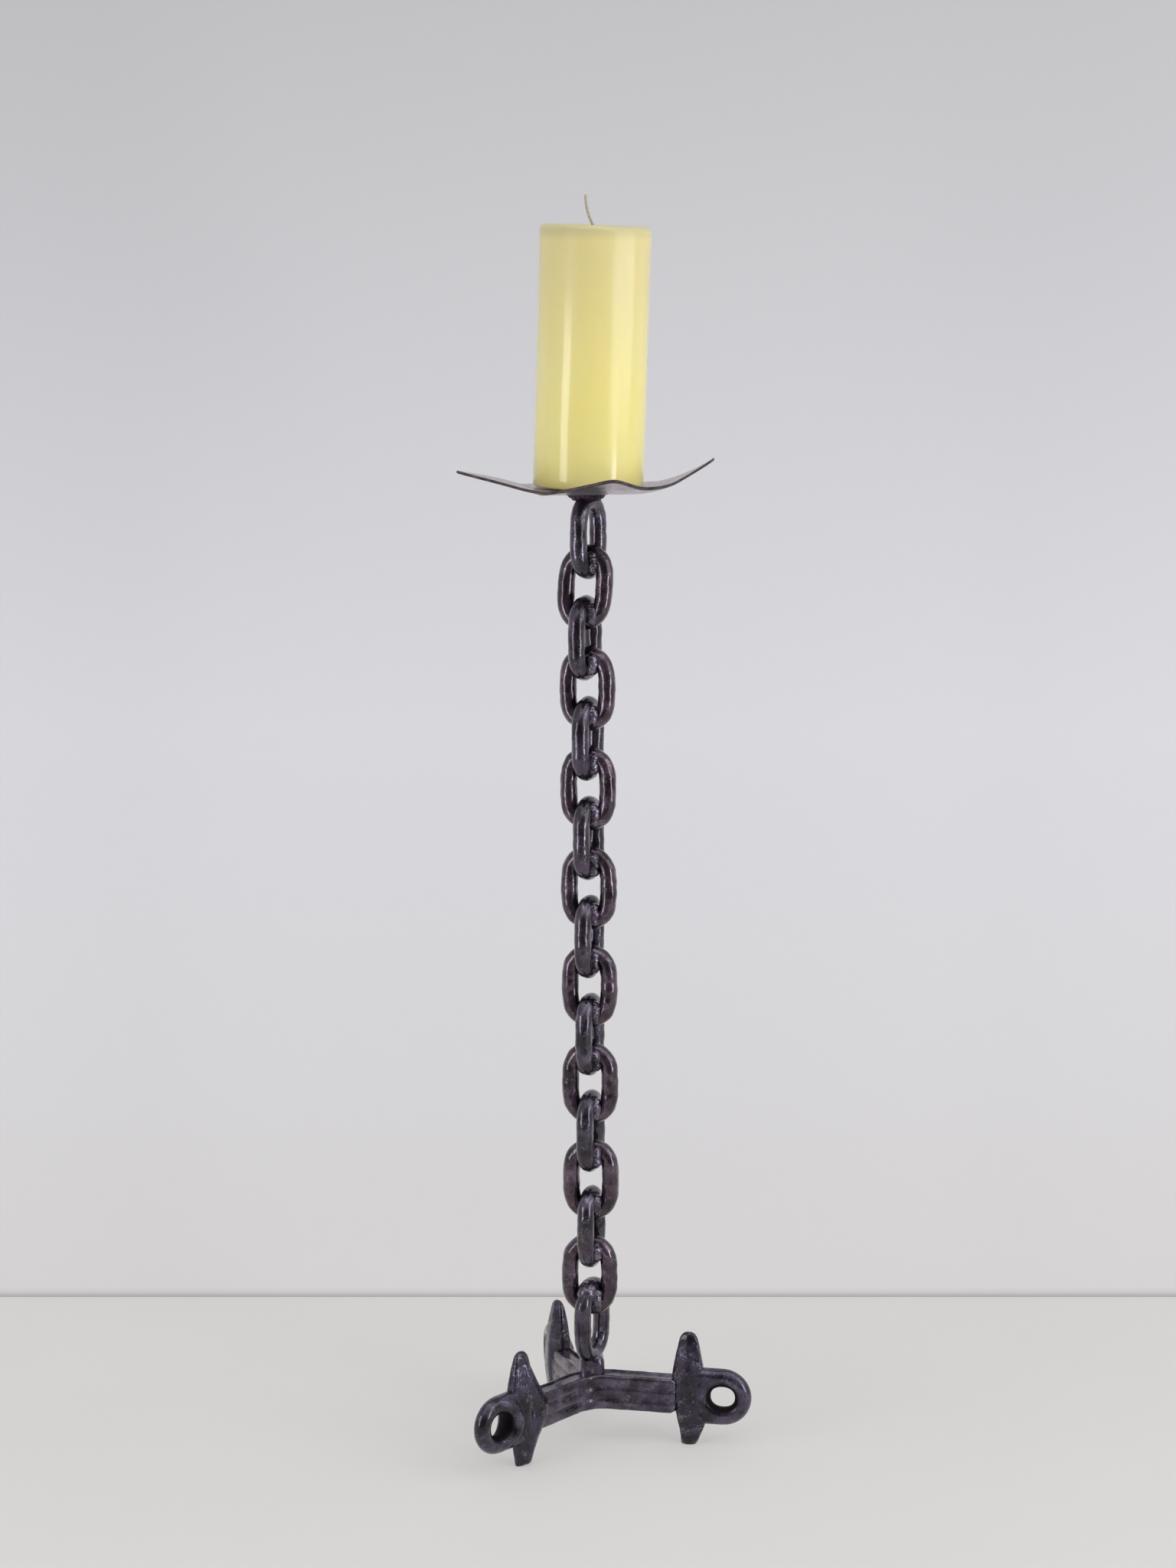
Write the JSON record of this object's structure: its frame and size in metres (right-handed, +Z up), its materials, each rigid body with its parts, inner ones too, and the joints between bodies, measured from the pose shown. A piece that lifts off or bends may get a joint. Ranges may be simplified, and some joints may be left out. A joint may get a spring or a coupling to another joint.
{
  "type": "floor candle holder",
  "caption": "Floor-standing candle holder: an upright column of welded chain links on three spiked feet with eyes, carrying a bent sheet-metal plate and a pillar candle.",
  "frame": {"origin": "on the floor, under the middle of the part's box", "axes": "+Z up, +X to the right in the pictured view, +Y away from that view"},
  "size_m": [0.2092, 0.195, 0.8946],
  "materials": {
    "black_iron": "worn black, semi-gloss",
    "weld_metal": "rough weld bead, black",
    "plate_steel": "satin, slightly darkened",
    "wax": "soft gloss",
    "wick": "dull"
  },
  "bodies": {
    "holder": {"arm_right": "black_iron", "spike_right": "black_iron", "eye_right": "black_iron", "arm_left": "black_iron", "spike_left": "black_iron", "eye_left": "black_iron", "arm_back": "black_iron", "spike_back": "black_iron", "eye_back": "black_iron", "foot_weld": "weld_metal", "chain_link_01": "black_iron", "chain_link_02": "black_iron", "chain_link_03": "black_iron", "chain_link_04": "black_iron", "chain_link_05": "black_iron", "chain_link_06": "black_iron", "chain_link_07": "black_iron", "chain_link_08": "black_iron", "chain_link_09": "black_iron", "chain_link_10": "black_iron", "chain_link_11": "black_iron", "chain_link_12": "black_iron", "chain_link_13": "black_iron", "chain_link_14": "black_iron", "chain_link_15": "black_iron", "chain_link_16": "black_iron", "chain_link_17": "black_iron", "link_weld_01": "weld_metal", "link_weld_02": "weld_metal", "link_weld_03": "weld_metal", "link_weld_04": "weld_metal", "link_weld_05": "weld_metal", "link_weld_06": "weld_metal", "link_weld_07": "weld_metal", "link_weld_08": "weld_metal", "link_weld_09": "weld_metal", "link_weld_10": "weld_metal", "link_weld_11": "weld_metal", "link_weld_12": "weld_metal", "link_weld_13": "weld_metal", "link_weld_14": "weld_metal", "link_weld_15": "weld_metal", "link_weld_16": "weld_metal", "plate_collar": "weld_metal", "candle_plate": "plate_steel", "pricket": "black_iron"},
    "candle": {"candle": "wax", "candle_wick": "wick"}
  },
  "joints": [
    {"name": "candle_lift", "type": "slide", "parent": "holder", "child": "candle", "axis": [0, 0, 1], "range_m": [0, 0.06]}
  ]
}
